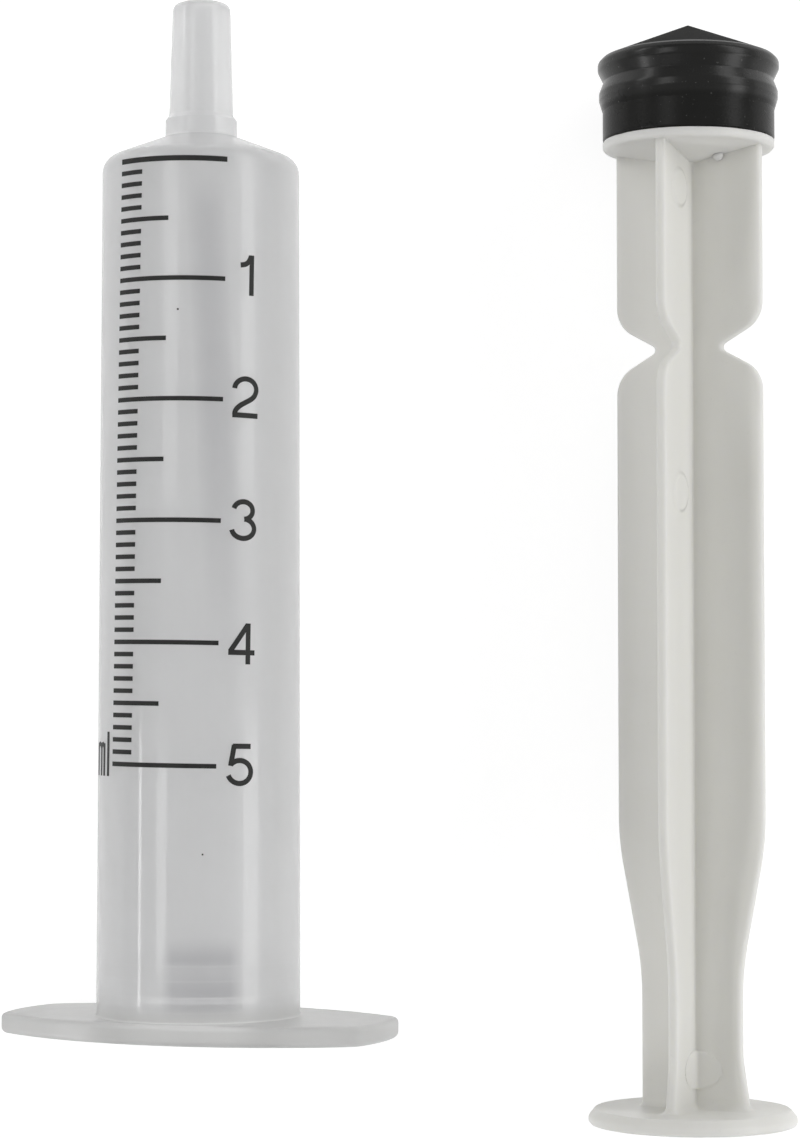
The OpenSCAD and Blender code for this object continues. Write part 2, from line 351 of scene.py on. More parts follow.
def clearPlastic():
    # Milky plastic: noise drawn out along the barrel and cloudy noise mix its two tones; bands across (side)
    # and along the barrel (ahead) mix in the deep tone as painted shade in the mouth and a painted dark
    # reflection along the middle, and the front and thick tones
    look = clearLook
    f = Finish("clearPlastic")
    drawn = f.stretched(1, look["flow"]["drawn"], 1)
    flow = f.noise(look["flow"]["scale"], detail=4, rough=0.6, vector=drawn)
    cloud = f.noise(look["cloud"]["scale"])
    streaks = flow * look["flow"]["share"] + cloud * look["cloud"]["share"]
    tone = f.mixed(streaks.clamped(), look["milk"], look["haze"])
    side = f.coordinate(0) - barrelAxis[0]
    ahead = f.coordinate(1) - flangeRear

    # Painted shade darkens the colour deep in the mouth, between its rings, and a painted dark reflection
    # darkens it along the middle of the front half
    mouth, rings, middle = look["mouth"], look["mouthRings"], look["middle"]
    between = ((ahead - rings["at"]) * rings["rate"]).wave() * rings["swing"] + (1 - rings["swing"])
    inside = (side - mouth["side"]).size().falling(mouth["half"], mouth["edge"])
    inside = inside * ahead.falling(mouth["end"], mouth["fade"]) * between
    drift = (middle["driftEnd"] - ahead) * middle["drift"] + middle["side"]
    paintedDarkReflection = (1 - ((side - drift) / middle["half"]) ** 2).clamped()
    paintedDarkReflection = paintedDarkReflection * ahead.rising(middle["start"], middle["rise"]) * ahead.falling(middle["end"], middle["fade"])
    paintedShadeAndReflection = inside * mouth["share"] + paintedDarkReflection * middle["share"]
    tone = f.mixed(paintedShadeAndReflection.clamped(), tone, look["deep"])

    # Painted highlights: fine pale rings stand in for the light off the edges of the two inner ridges
    line = look["ridgeHighlight"]
    for at in barrelSizes["ridges"]:
        edge = 1 - (((ahead - at).size() - barrelSizes["ridgeHalfW"]) / line["half"]).size()
        tone = f.mixed(edge.clamped() * line["share"], tone, look["front"])

    shoulder, wall, gloss, grain = look["shoulder"], look["wall"], look["gloss"], look["grain"]
    front = shoulder["most"] - ahead.rising(shoulder["fadeFrom"], shoulder["fade"])
    front = ahead.rising(shoulder["start"], shoulder["rise"]) * front
    tone = f.mixed(front.clamped(), tone, look["front"])
    f.set(Base_Color=f.mixed(ahead.rising(wall["start"], wall["rise"]), look["thick"], tone))
    f.set(Alpha=cloud.about(look["opacity"], look["opacitySwing"]))
    f.set(Roughness=flow.about(look["roughness"], look["roughSwing"]))
    f.set(IOR=look["ior"], Specular_IOR_Level=look["specular"], Transmission_Weight=look["transmission"])
    f.set(Coat_Weight=ahead.rising(gloss["start"], gloss["rise"]) * gloss["weight"])
    f.set(Coat_Roughness=gloss["roughness"], Coat_IOR=look["ior"])
    skinGrain = flow + f.noise(grain["scale"], detail=2) * grain["share"]
    f.set(Normal=f.bump(skinGrain, grain["height"], grain["strength"]))
    return f.material


def flangeReach(angle):
    # Distance from the axis to the flange's rim: two long arcs, cut off by a circle, with softened corners
    s = barrelSizes
    a = angle - s["roll"]
    off = s["flangeEdgeR"] - s["flangeHalfDepth"]
    arcs = np.sqrt(s["flangeEdgeR"] ** 2 - (off * np.sin(a)) ** 2) - off * np.abs(np.cos(a))
    power = s["flangeCorner"]
    return (arcs ** -power + s["flangeEndR"] ** -power) ** (-1 / power)


def barrelProfile():
    # The wall as radius and distance from the rear: outside to the nozzle's tip, and back inside to the mouth
    s = barrelSizes
    collarAt = s["shoulderAt"] + s["shoulderSlope"] * (s["frontR"] - s["collarR"])
    rootAt = collarAt + s["collarLen"]
    tipAt = rootAt + s["nozzleLen"]
    passageAt = collarAt - s["shoulderWall"] + s["shoulderSlope"] * (s["collarR"] - s["passageR"])
    boreEnd = passageAt - s["shoulderSlope"] * (s["boreR"] - s["passageR"])
    ridge = ((0, s["ridgeHalfW"]), (-s["ridgeH"], 0), (0, -s["ridgeHalfW"]))
    ridges = [(s["boreR"] + r, at + w, s["ridgeRound"]) for at in reversed(s["ridges"]) for r, w in ridge]
    return finer(roundedPath([
        (s["rearR"] + s["flangeFillet"] + s["faceMargin"], s["flangeT"], 0),
        (s["rearR"], s["flangeT"], s["flangeFillet"]),
        (s["frontR"], s["shoulderAt"], s["shoulderRound"]),
        (s["collarR"], collarAt, s["collarFoot"]),
        (s["collarR"], rootAt - s["collarBevel"], s["collarRound"]),
        (s["nozzleRootR"], rootAt, s["nozzleRootRound"]),
        (s["nozzleTipR"], tipAt, s["nozzleTipRound"]),
        (s["passageR"], tipAt, s["passageTipRound"]),
        (s["passageR"], passageAt, s["passageEndRound"]),
        (s["boreR"], boreEnd, s["boreEndRound"]),
        *ridges,
        (s["boreR"], s["mouthLen"], s["mouthRound"]),
        (s["boreR"] + s["mouthW"], 0, s["mouthEdge"]),
        (s["boreR"] + s["mouthRim"], 0, 0),
    ]))


def barrelShell():
    # The profile carried round the axis, then the flange: its radius runs out to the rim, round it and back
    s = barrelSizes
    wall = barrelProfile()
    angle = fullTurn(s["sides"])
    flat = flangeReach(angle) - s["flangeRound"]
    turn = np.radians(np.linspace(0, 90, 7))[:, None]            # over one rounded edge of the rim
    out, up = s["flangeRound"] * np.sin(turn), s["flangeRound"] * np.cos(turn)
    share = np.array([0.02, 0.2, 0.5, 0.8, 0.98])[:, None]       # rows on a flat face, also close to its ends
    frontR, rearR = wall[0, 0], wall[-1, 0]
    grids = [
        (wall[:, :1], wall[:, 1:]),
        (rearR + share * (flat - rearR), 0),
        (flat + out, s["flangeRound"] - up),
        (flat + up, s["flangeT"] - s["flangeRound"] + out),
        (frontR + share[::-1] * (flat - frontR), s["flangeT"]),
    ]
    rows = np.concatenate([around(r, y, angle, barrelAxis, flangeRear) for r, y in grids])
    makePiece("barrel_shell", [skin(rows, loop=True)], clearPlastic(), "barrel", "barrel")


barrelShell()

rodSizes = {
    "len": 68.4,                   # from the thumb face to the stopper's seat
    "roll": math.radians(-27),
    "ribHalf": 0.375,
    "ribEdge": 0.27,               # rounding of the ribs' outer edges
    "ribRoot": 0.14,               # fillet between two ribs
    "ribR": 5.405,
    "shankR": 3.68,
    "widenFrom": 10.6,
    "widenTo": 19.5,
    "widenRound": 20,
    "footW": 0.55,                 # flare at the foot of the two ribs in front
    "footAt": 4.7,
    "footRound": 7,
    "footFillet": 0.2,
    "faceFillet": 0.55,            # between the ribs' faces and the thumb disc
    "notchAt": 53.8,
    "notchR": 2.15,
    "notchSlope": math.tan(math.radians(29)),
    "notchRound": 2.2,
    "notchRoot": 0.35,
    "thumbR": 7.2,
    "thumbT": 1.1,
    "thumbRound": 0.35,
    "thumbBevel": 0.45,
    "thumbBevelRound": 0.1,
    "thumbRim": 0.5,
    "gripRings": (2.88, 4.32, 5.76),
    "gripHalfW": 0.25,
    "gripDepth": 0.15,
    "gripRound": 0.06,
    "pressR": 6.005,
    "pressT": 0.65,
    "pressRound": 0.3,
    "pressEdge": 0.06,
    "pressRim": 0.58,
    "hubR": 5.38,                  # the flat cone behind the pressure disc
    "hubLen": 0.9,
    "hubTipR": 0.75,
    "neckR": 2.2,
    "neckLen": 1.7,
    "neckRound": 0.1,
    "buttonR": 3.7,
    "buttonRim": 0.9,
    "buttonRound": 0.3,
    "buttonNose": 1.3,
    "buttonTipR": 2.0,
    "buttonTipRound": 0.2,
    "poleR": 0.4,                  # where the closing fans start
    "seatGap": 0.05,
    "cornerMark": 3.8,
    "cornerMarkH": 0.24,
    "cornerMarkEdge": 0.14,
    "faceMarks": (43.6, 64.75),
    "ejectR": 1.3,
    "ejectH": 0.12,
    "ejectEdge": 0.16,
    "markStep": 0.14,              # heights of the skin's rows, over the marks and elsewhere
    "markSpan": 1.5,
    "rowStep": 1.5,
    "nub": {"side": 1.9, "up": 1.6, "behind": 0.55, "wide": 0.38, "deep": 0.42},
}

whiteLook = {
    "body": (0.80, 0.796, 0.770, 1),
    "shade": (0.74, 0.734, 0.702, 1),
    "speckTone": (0.45, 0.44, 0.40, 1),
    # Next: the colour of the painted shade round the marks on the front rib
    "markShadeTone": (0.42, 0.42, 0.40, 1),
    "flow": {"scale": 700, "drawn": 0.07, "share": 0.5},
    "cloud": {"scale": 180, "share": 0.5},
    "speck": {"scale": 3800, "start": 0.70, "rise": 0.06, "share": 0.05},
    "grain": {"scale": 5200, "share": 0.3, "flow": 0.7, "height": 0.00003, "strength": 0.6},
    # Next: where the painted shade round the marks lies
    "rim": {"half": 0.22, "end": 0.5, "fade": 1.43, "share": 0.75},
    "roughness": 0.42,
    "roughSwing": 0.2,
    "ior": 1.49,
    "inside": 0.6,                          # share of the light that goes in and spreads
    "depth": 0.0010,                        # how far it spreads, in metres
    "spread": (1, 1, 0.9),
}


def whitePlastic():
    # Opaque plastic: drawn-out and cloudy noise mix two whites, with a few specks and painted shade round the
    # marks' rims
    look, s = whiteLook, rodSizes
    f = Finish("whitePlastic")
    drawn = f.stretched(1, look["flow"]["drawn"], 1)
    flow = f.noise(look["flow"]["scale"], detail=4, rough=0.6, vector=drawn)
    cloud = f.noise(look["cloud"]["scale"], detail=4)
    speck = look["speck"]
    specks = f.noise(speck["scale"], detail=1).rising(speck["start"], speck["rise"])
    streaks = flow * look["flow"]["share"] + cloud * look["cloud"]["share"]
    tone = f.mixed(streaks.clamped(), look["body"], look["shade"])
    tone = f.mixed(specks * speck["share"], tone, look["speckTone"])

    # Painted shade darkens the rims of the two marks on the front rib, towards the rod's middle: out is the
    # distance along that rib from the marks' centres, and far the distance from one centre
    rib = np.array([math.sin(s["roll"]), math.cos(s["roll"])])
    sockets = {0: f.place, 1: (rib[0], 0, rib[1])}
    reach = f.node("ShaderNodeVectorMath", {"operation": "DOT_PRODUCT"}, sockets, 1) / mm
    out = reach - (rodAxis @ rib + s["ribR"] / 2)
    along = f.coordinate(1) - thumbRear
    rim = look["rim"]
    for at in s["faceMarks"]:
        far = ((along - at) ** 2 + out ** 2) ** 0.5
        edge = (1 - ((far - s["ejectR"]) / rim["half"]).size()).clamped()
        edge = edge * out.falling(rim["end"], rim["fade"])
        tone = f.mixed(edge * rim["share"], tone, look["markShadeTone"])

    grain = look["grain"]
    f.set(Base_Color=tone, Roughness=cloud.about(look["roughness"], look["roughSwing"]), IOR=look["ior"])
    f.set(Subsurface_Weight=look["inside"], Subsurface_Scale=look["depth"], Subsurface_Radius=look["spread"])
    skinGrain = flow * grain["flow"] + f.noise(grain["scale"], detail=2) * grain["share"]
    f.set(Normal=f.bump(skinGrain, grain["height"], grain["strength"]))
    return f.material


def smooth(value):
    # Rises softly from 0 to 1 while the value does
    value = np.clip(value, 0, 1)
    return value * value * (3 - 2 * value)


def crossRing(tips, half, along):
    # Outline of the four ribs at each height, as radius and angle: tips (n, 4) are their reaches and
    # half (n, 1) is half of their thickness; u runs out along a rib and w across it
    s = rodSizes
    e, f = s["ribEdge"], s["ribRoot"]
    tip = tips[:, :, None]
    half = np.broadcast_to(half[:, :, None], tip.shape)
    root = half + f
    bend = np.radians(np.linspace(0, 90, 6))                     # round the outer edge
    swing = np.radians(np.linspace(-90, -135, 4))[1:]            # half of the fillet between two ribs
    # Shares of a rib's face, from its outer edge to its root, and of its end, from the middle
    side = np.array([0.97, 0.9, *np.linspace(0.84, 0.15, 20), 0.08, 0])
    end = np.array([0, 0.15])
    u = np.concatenate([
        tip * np.ones(len(end)),
        tip - e + e * np.cos(bend),
        root + (tip - e - root) * side,
        root + f * np.cos(swing),
    ], 2)
    w = np.concatenate([
        half * end,
        half - e + e * np.sin(bend),
        half * np.ones(len(side)),
        root + f * np.sin(swing),
    ], 2)
    # From one rib's middle to the next one's: this rib's face, then the next rib's other face backwards
    nextU, nextW = np.roll(u, -1, 1)[:, :, -2:0:-1], np.roll(w, -1, 1)[:, :, -2:0:-1]
    # Two ejector marks stand out from the first rib's face
    for at in s["faceMarks"]:
        inward = s["ejectR"] - np.hypot(u[:, 0] - s["ribR"] / 2, along - at)
        w[:, 0] += s["ejectH"] * smooth(inward / s["ejectEdge"] + 0.5) * (u[:, 0] > root[:, 0])
    quarter = math.pi / 2 * np.arange(4)[None, :, None]
    radius = np.concatenate([np.hypot(u, w), np.hypot(nextU, nextW)], 2)
    angle = np.concatenate([np.arctan2(w, u), math.pi / 2 - np.arctan2(nextW, nextU)], 2) + quarter
    return radius.reshape(len(tips), -1), angle.reshape(len(tips), -1)


def thumbProfile():
    # Rear face with three sunk rings, rim and front bevel, as radius and distance from the rear
    s = rodSizes
    w, d = s["gripHalfW"], s["gripDepth"]
    ring = ((-w, 0), (-w, d), (w, d), (w, 0))
    front = s["thumbR"] - s["thumbBevel"]
    return finer(roundedPath([
        (s["poleR"], 0, 0),
        *[(r + x, y, s["gripRound"]) for r in s["gripRings"] for x, y in ring],
        (s["thumbR"], 0, s["thumbRound"]),
        (s["thumbR"], s["thumbT"] / 2, s["thumbRound"]),
        (front, s["thumbT"], s["thumbBevelRound"]),
        (front - s["thumbRim"], s["thumbT"], 0),
    ], steps=4))


def headProfile(ribEnd):
    # Pressure disc, neck and button, as radius and distance from the rear
    s = rodSizes
    seat = s["len"] - s["seatGap"]
    button = s["len"] + s["neckLen"]
    nose = button + s["buttonRim"]
    tip = nose + s["buttonNose"]
    return finer(roundedPath([
        (s["pressR"] - s["pressRim"], ribEnd, 0),
        (s["pressR"], ribEnd, s["pressRound"]),
        (s["pressR"], seat, s["pressEdge"]),
        (s["neckR"], seat, s["neckRound"]),
        (s["neckR"], button, s["neckRound"]),
        (s["buttonR"], button, s["buttonRound"]),
        (s["buttonR"], nose, s["buttonRound"]),
        (s["buttonTipR"], tip, s["buttonTipRound"]),
        (s["poleR"], tip, 0),
    ], steps=5))


def ribReach(foot, ribEnd):
    # One rib's reach along the rod: foot, narrow shank, widening, full rib and notch
    s = rodSizes
    notchHalf = s["notchSlope"] * (s["ribR"] - s["notchR"])
    return roundedPath([
        (s["shankR"] + foot, s["thumbT"], 0),
        (s["shankR"], s["footAt"], s["footRound"]),
        (s["shankR"], s["widenFrom"], s["widenRound"]),
        (s["ribR"], s["widenTo"], s["widenRound"]),
        (s["ribR"], s["notchAt"] - notchHalf, s["notchRound"]),
        (s["notchR"], s["notchAt"], s["notchRoot"]),
        (s["ribR"], s["notchAt"] + notchHalf, s["notchRound"]),
        (s["ribR"], ribEnd, 0),
    ], steps=12)


def footGain(along, size):
    # What a quarter-round foot on the thumb disc adds at each height
    depth = np.clip((along - rodSizes["thumbT"]) / size, 0, 1)
    return size * (1 - np.sqrt(1 - (1 - depth) ** 2))


def ribRows(ribEnd):
    # The crossed ribs as radius, height and angle, one row for each height; the rows are closer where
    # a curve, a fillet or a mark needs them
    s = rodSizes
    plain, flared = ribReach(0, ribEnd), ribReach(s["footW"], ribEnd)
    marks = (s["cornerMark"], *s["faceMarks"])
    along = np.concatenate([
        plain[:, 1],
        flared[:, 1],
        *[np.arange(at - s["markSpan"], at + s["markSpan"], s["markStep"]) for at in marks],
        s["thumbT"] + s["footFillet"] * np.linspace(0, 1, 6) ** 2,
        s["thumbT"] + s["faceFillet"] * np.linspace(0, 1, 9) ** 2,
        ribEnd - s["hubLen"] * np.linspace(1, 0, 10),
        np.arange(2, ribEnd, s["rowStep"]),
    ])
    along = np.unique(np.round(np.clip(along, s["thumbT"], ribEnd), 2))[:, None]
    narrow = np.interp(along, plain[:, 1], plain[:, 0])
    wide = np.interp(along, flared[:, 1], flared[:, 0])
    tips = np.concatenate([wide, wide, narrow, narrow], 1) + footGain(along, s["footFillet"])
    radius, angle = crossRing(tips, s["ribHalf"] + footGain(along, s["faceFillet"]), along)

    # The flat cone fills the ribs' corners behind the pressure disc
    cone = s["hubTipR"] + (s["hubR"] - s["hubTipR"]) * (along - ribEnd + s["hubLen"]) / s["hubLen"]
    radius = np.maximum(radius, cone)

    # The lowest ejector mark stands out from the corner in the middle of the first quarter
    across = radius * np.sin(angle - math.pi / 4)
    facing = np.cos(angle - math.pi / 4) > 0
    inward = s["ejectR"] - np.hypot(across, along - s["cornerMark"])
    radius = radius + s["cornerMarkH"] * smooth(inward / s["cornerMarkEdge"] + 0.5) * facing
    return radius, along, angle


def discNub(ribEnd):
    # A small nub under the pressure disc, beside the ribs: a stretched ball whose ends are small fans
    spot = rodSizes["nub"]
    u, v = np.radians(np.linspace(8, 172, 12))[:, None], fullTurn(20)
    return np.stack(np.broadcast_arrays(
        rodAxis[0] + spot["side"] + spot["wide"] * np.sin(u) * np.cos(v),
        thumbRear + ribEnd - spot["behind"] + spot["deep"] * np.cos(u),
        rodAxis[1] + spot["up"] + spot["deep"] * np.sin(u) * np.sin(v),
    ), -1)


def plungerRod():
    # One skin from the rear of the thumb disc to the head: discs are circles, ribs are the crossed outline,
    # and a few rows on each disc run from the one to the other
    s = rodSizes
    ribEnd = s["len"] - s["pressT"]
    thumb, head = thumbProfile(), headProfile(ribEnd)
    radius, along, angle = ribRows(ribEnd)
    foot, top, fan = radius[:1], radius[-1:], angle[-1:]
    share = np.array([0.75, 0.5, 0.25, 0.1])[:, None]
    grids = [
        (thumb[:, :1], thumb[:, 1:], fan),
        (foot + share * (thumb[-1, 0] - foot), s["thumbT"], angle[:1] * (1 - share) + fan * share),
        (radius, along, angle),
        (top + share[::-1] * (head[0, 0] - top), ribEnd, fan),
        (head[:, :1], head[:, 1:], fan),
    ]
    rows = np.concatenate([around(r, y, a + s["roll"], rodAxis, thumbRear) for r, y, a in grids])
    skins = [skin(rows), skin(discNub(ribEnd))]
    makePiece("plunger_rod_skin", skins, whitePlastic(), "rod", "plunger_rod")


plungerRod()

stopperSizes = {
    "skirtR": 6.0,
    "skirtLen": 2.1,
    "skirtRound": 0.18,
    "rearSealR": 6.25,
    "rearSealAt": 3.15,
    "grooveR": 5.94,
    "grooveRound": 0.12,
    "frontSealR": 6.34,
    "frontSealAt": 5.25,
    "land": 0.25,                  # half of each sealing rib's flat
    "sealRound": 0.5,
    "frontRound": 0.4,
    "noseAt": 5.85,
    "noseRound": 0.35,
    "noseLen": 2.4,
    "noseTipR": 0.05,
    "noseTipDrop": 0.02,
    "clear": 0.2,                  # between the rod's button and the pocket
    "pocketRound": 0.2,
    "pocketTipRound": 0.3,
    "poleR": 0.3,
    "sides": 192,
}

rubberLook = {
    "body": (0.010, 0.010, 0.0095, 1),
    "bloom": (0.020, 0.020, 0.019, 1),      # the pale bloom that rubber gets
    "dustTone": (0.35, 0.35, 0.34, 1),
    "cloud": {"scale": 320, "share": 0.7},
    "rings": {"scale": 1500, "drawn": 0.12, "share": 0.3},
    "dust": {"scale": 4200, "start": 0.72, "rise": 0.06, "share": 0.16, "rough": 0.2},
    "grain": {"scale": 6400, "share": 0.4, "rings": 0.6, "height": 0.00004, "strength": 0.7},
    "cone": {"start": 5.9, "rise": 0.2, "rough": 0.55},
    "gloss": {"weight": 0.35, "start": 2.3, "rise": 0.3, "end": 5.6, "fade": 0.2,
              "roughness": 0.24, "ior": 1.5},
    "roughness": 0.28,
    "roughSwing": 0.2,
    "ior": 1.52,
    "specular": 0.1,
}


def blackRubber():
    # Cloudy noise and noise drawn out round the stopper mix black with its bloom, under a little dust;
    # the ribs are polished by the mould, the cone and the skirt are dull
    look = rubberLook
    dust, cone, gloss, grain = look["dust"], look["cone"], look["gloss"], look["grain"]
    f = Finish("blackRubber")
    cloud = f.noise(look["cloud"]["scale"], detail=5, rough=0.62)
    drawn = f.stretched(look["rings"]["drawn"], 1, look["rings"]["drawn"])
    rings = f.noise(look["rings"]["scale"], detail=3, rough=0.6, vector=drawn)
    grains = f.noise(dust["scale"], detail=1).rising(dust["start"], dust["rise"])
    streaks = cloud * look["cloud"]["share"] + rings * look["rings"]["share"]
    tone = f.mixed(streaks.clamped(), look["body"], look["bloom"])
    f.set(Base_Color=f.mixed(grains * dust["share"], tone, look["dustTone"]))
    along = f.coordinate(1) - stopperRear
    dull = grains * dust["rough"] + along.rising(cone["start"], cone["rise"]) * cone["rough"]
    f.set(Roughness=(cloud.about(look["roughness"], look["roughSwing"]) + dull).clamped())
    f.set(IOR=look["ior"], Specular_IOR_Level=look["specular"])
    ribs = along.rising(gloss["start"], gloss["rise"]) * along.falling(gloss["end"], gloss["fade"])
    f.set(Coat_Weight=ribs * gloss["weight"], Coat_Roughness=gloss["roughness"], Coat_IOR=gloss["ior"])
    skinGrain = rings * grain["rings"] + f.noise(grain["scale"], detail=2) * grain["share"]
    f.set(Normal=f.bump(skinGrain, grain["height"], grain["strength"]))
    return f.material


def rubberStopper():
    # A closed profile, first the pocket and then the outside, carried round the axis
    s, r = stopperSizes, rodSizes
    c = s["clear"]
    neckR, buttonR, tipR = r["neckR"] + c, r["buttonR"] + c, r["buttonTipR"] + c
    step = r["neckLen"] - c
    nose = r["neckLen"] + r["buttonRim"] + c
    groove = (s["rearSealAt"] + s["frontSealAt"]) / 2
    profile = finer(roundedPath([
        (s["poleR"], nose + r["buttonNose"], 0),
        (tipR, nose + r["buttonNose"], s["pocketTipRound"]),
        (buttonR, nose, s["pocketRound"]),
        (buttonR, step, s["pocketRound"]),
        (neckR, step, s["pocketRound"]),
        (neckR, 0, s["pocketRound"]),
        (s["skirtR"], 0, s["skirtRound"]),
        (s["skirtR"], s["skirtLen"], s["grooveRound"]),
        (s["rearSealR"], s["rearSealAt"] - s["land"], s["sealRound"]),
        (s["rearSealR"], s["rearSealAt"] + s["land"], s["sealRound"]),
        (s["grooveR"], groove, s["grooveRound"]),
        (s["frontSealR"], s["frontSealAt"] - s["land"], s["sealRound"]),
        (s["frontSealR"], s["frontSealAt"] + s["land"], s["frontRound"]),
        (s["skirtR"], s["noseAt"], s["noseRound"]),
        (s["noseTipR"], s["noseAt"] + s["noseLen"] - s["noseTipDrop"], 0),
    ], steps=9))
    rows = around(profile[:, :1], profile[:, 1:], fullTurn(s["sides"]), rodAxis, thumbRear + r["len"])
    makePiece("rubber_stopper", [skin(rows)], blackRubber(), "stopper", "stopper")


rubberStopper()

inkLook = {
    "body": (0.016, 0.016, 0.016, 1),
    "worn": (0.04, 0.04, 0.038, 1),
    "scale": 2600,
    "roughness": 0.5,
    "roughSwing": 0.3,
    "specular": 0.2,
    "height": 0.00002,
    "strength": 0.5,
}


def printInk():
    # Black print, worn to grey in fine spots
    look = inkLook
    f = Finish("printInk")
    worn = f.noise(look["scale"], detail=4, rough=0.65)
    f.set(Base_Color=f.mixed(worn, look["body"], look["worn"]))
    f.set(Roughness=worn.about(look["roughness"], look["roughSwing"]), Specular_IOR_Level=look["specular"])
    f.set(Normal=f.bump(worn, look["height"], look["strength"]))
    return f.material


inkMaterial = printInk()

scaleSizes = {
    "ml": 5,
    "zeroAt": 59.5,                # the 0 ml line, from the flange's rear face
    "perMl": 8.175,                # stroke of one millilitre in this bore
    "bow": 0.09,                   # the lines' spacing is a little uneven, most in the middle
    "startDeg": -47.9,             # where every line starts, from the top of the barrel
    "skew": math.radians(0.95),
    "wrapR": 6.925,                # radius at which the print's widths are true
    "long": 8.05,
    "middle": 4.05,
    "short": 1.95,
    "lineW": 0.31,
    "zeroW": 0.36,
    "numberAt": 9.68,              # middle of the numbers, along a line
    "numberH": 2.75,
    "numberW": 0.35,
    "numberWide": 1.15,            # wider than the drawn numbers
    "numberLift": (0.36, 0.23, 0.10, -0.01, 0.12),
    "inkLow": 0.004,
    "inkHigh": 0.022,
    "step": 0.2,
    "fineStep": 0.1,
    "unit": {"drop": 0.85, "stems": (-2.65, -1.85, -1.27), "top": 2.2, "archDrop": 0.45, "archH": 0.4,
             "tallAt": -0.62, "tallTop": 3.0, "lineW": 0.3},
    "specks": ((4.85, 49.25, 0.06), (7.25, 12.75, 0.055)),      # stray dots: across, along and half size
    "speckStep": 0.05,
}


def readingAt(ml):
    # Where a reading stands along the barrel, from the flange's rear face
    s = scaleSizes
    share = ml / s["ml"]
    return s["zeroAt"] - ml * s["perMl"] + 4 * s["bow"] * share * (1 - share)


def onBarrel(across, along, lift):
    # Print coordinates wrapped on the barrel's drafted wall; the print sits a little askew
    s, b = scaleSizes, barrelSizes
    down = along - s["zeroAt"]
    p = across * math.cos(s["skew"]) + down * math.sin(s["skew"])
    q = s["zeroAt"] + down * math.cos(s["skew"]) - across * math.sin(s["skew"])
    ahead = np.clip((q - b["flangeT"]) / (b["shoulderAt"] - b["flangeT"]), 0, 1)
    wallR = b["rearR"] + (b["frontR"] - b["rearR"]) * ahead
    angle = math.radians(s["startDeg"]) + p / s["wrapR"]
    return around(wallR + lift, q, angle, barrelAxis, flangeRear)


def inkStroke(path, width, step):
    # A flat ribbon of ink along a path (n, 2), with its four edges as the profile
    low, high = scaleSizes["inkLow"], scaleSizes["inkHigh"]
    span = np.concatenate([[0], np.cumsum(np.linalg.norm(np.diff(path, axis=0), axis=1))])
    at = np.linspace(0, span[-1], max(2, int(span[-1] / step) + 1))
    line = np.stack([np.interp(at, span, path[:, 0]), np.interp(at, span, path[:, 1])], 1)
    along = np.gradient(line, axis=0)
    side = np.stack([-along[:, 1], along[:, 0]], 1) / np.linalg.norm(along, axis=1)[:, None] * width / 2
    left, right = (line + side).T, (line - side).T
    edges = [onBarrel(*left, low), onBarrel(*left, high), onBarrel(*right, high), onBarrel(*right, low)]
    return skin(np.stack(edges, 1))


def scaleLines():
    # A line for each tenth of a millilitre, longer at the halves and longest at the whole ones
    s = scaleSizes
    strokes = []
    for tick in range(10 * s["ml"] + 1):
        length = s["long"] if tick % 10 == 0 else s["middle"] if tick % 5 == 0 else s["short"]
        width = s["lineW"] if tick else s["zeroW"]
        y = readingAt(tick / 10)
        strokes.append(inkStroke(np.array([[0, y], [length, y]]), width, s["step"]))
    makePiece("scale_lines", strokes, inkMaterial, "barrel")


def arc(cx, cy, rx, ry, start, end):
    # Part of an ellipse, from one angle to another
    a = np.radians(np.linspace(start, end, 24))
    return np.stack([cx + rx * np.cos(a), cy + ry * np.sin(a)], 1)


def swoop(a, b, c, d):
    # A curve from a to d that leaves towards b and arrives from c
    t = np.linspace(0, 1, 16)[:, None]
    a, b, c, d = (np.array(p, float) for p in (a, b, c, d))
    return a * (1 - t) ** 3 + 3 * b * t * (1 - t) ** 2 + 3 * c * t * t * (1 - t) + d * t ** 3


def straight(a, b):
    # A centre line from one point to another
    return np.array([a, b], float)


# Centre lines of the plain numbers, in a box one unit high with its middle at x = 0
numberLines = {
    "1": [
        straight((0.1, 0), (0.1, 1)),
        swoop((-0.17, 0.74), (-0.02, 0.75), (0.04, 0.82), (0.08, 0.98)),
    ],
    "2": [
        np.concatenate([arc(0, 0.695, 0.26, 0.255, 178, -22),
                        swoop((0.232, 0.575), (0.16, 0.38), (-0.24, 0.34), (-0.255, 0.07))]),
        straight((-0.305, 0.05), (0.3, 0.05)),
    ],
    "3": [
        arc(-0.01, 0.735, 0.225, 0.215, 168, -84),
        arc(-0.01, 0.29, 0.265, 0.24, 84, -172),
    ],
    "4": [
        straight((0.15, 0), (0.15, 1)),
        straight((0.14, 0.97), (-0.26, 0.31)),
        straight((-0.3, 0.285), (0.31, 0.285)),
    ],
    "5": [
        straight((-0.16, 0.95), (0.25, 0.95)),
        straight((-0.13, 0.98), (-0.205, 0.47)),
        arc(0, 0.325, 0.265, 0.28, 140, -162),
    ],
}


def scaleNumbers():
    # Each number's centre lines, scaled about its middle and set beside its long line
    s = scaleSizes
    size = s["numberH"] * np.array([s["numberWide"], 1])
    strokes = []
    for name, lift in zip(numberLines, s["numberLift"]):
        middle = np.array([s["numberAt"], readingAt(int(name)) + lift])
        strokes += [inkStroke(middle + (line - [0, 0.5]) * size, s["numberW"], s["fineStep"])
                    for line in numberLines[name]]
    makePiece("scale_numbers", strokes, inkMaterial, "barrel")


